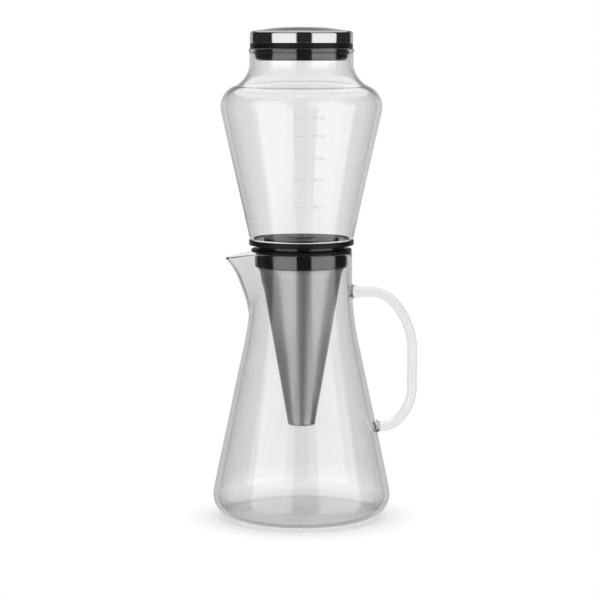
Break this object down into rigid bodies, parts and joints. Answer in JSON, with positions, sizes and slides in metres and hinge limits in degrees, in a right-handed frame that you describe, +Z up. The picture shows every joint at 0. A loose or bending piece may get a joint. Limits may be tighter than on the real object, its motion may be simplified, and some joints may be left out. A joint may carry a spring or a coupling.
{
  "type": "cold brew coffee maker",
  "caption": "Glass drip coffee tower: a spouted carafe with a rod handle, a steel cone filter in its neck, and a tapered glass water vessel with a drip nozzle and a steel lid on top.",
  "frame": {"origin": "centre of the base of the carafe, on the table", "axes": "+Z up along the axis of the carafe, -X towards the spout, +X towards the handle, -Y towards the viewer of the picture"},
  "size_m": [0.1399, 0.1214, 0.334],
  "materials": {
    "clear_glass": "clear borosilicate glass, polished",
    "brushed_steel": "satin",
    "bright_steel": "bright pressed",
    "fine_mesh": "fine woven mesh",
    "mirror_steel": "mirror polished",
    "black_plastic": "gloss",
    "black_silicone": "satin"
  },
  "bodies": {
    "carafe": {"carafe_glass": "clear_glass", "carafe_handle": "clear_glass"},
    "filter": {"filter_cone": "brushed_steel", "filter_mesh": "fine_mesh", "filter_end_cap": "brushed_steel", "filter_collar": "black_plastic", "collar_seal": "black_silicone", "collar_clip": "bright_steel"},
    "spreader": {"water_spreader": "bright_steel"},
    "vessel": {"vessel_glass": "clear_glass", "vessel_base_ring": "black_silicone", "vessel_base_plug": "black_silicone", "drip_nozzle": "bright_steel"},
    "lid": {"lid_cap": "mirror_steel", "lid_core": "black_plastic", "lid_gasket": "black_silicone", "lid_plug_seal": "black_silicone"}
  },
  "joints": [
    {"name": "filter_lift", "type": "slide", "parent": "carafe", "child": "filter", "axis": [0, 0, 1], "range_m": [0, 0.13]},
    {"name": "spreader_lift", "type": "slide", "parent": "filter", "child": "spreader", "axis": [0, 0, 1], "range_m": [0, 0.035]},
    {"name": "vessel_lift", "type": "slide", "parent": "spreader", "child": "vessel", "axis": [0, 0, 1], "range_m": [0, 0.03]},
    {"name": "lid_lift", "type": "slide", "parent": "vessel", "child": "lid", "axis": [0, 0, 1], "range_m": [0, 0.025]}
  ]
}
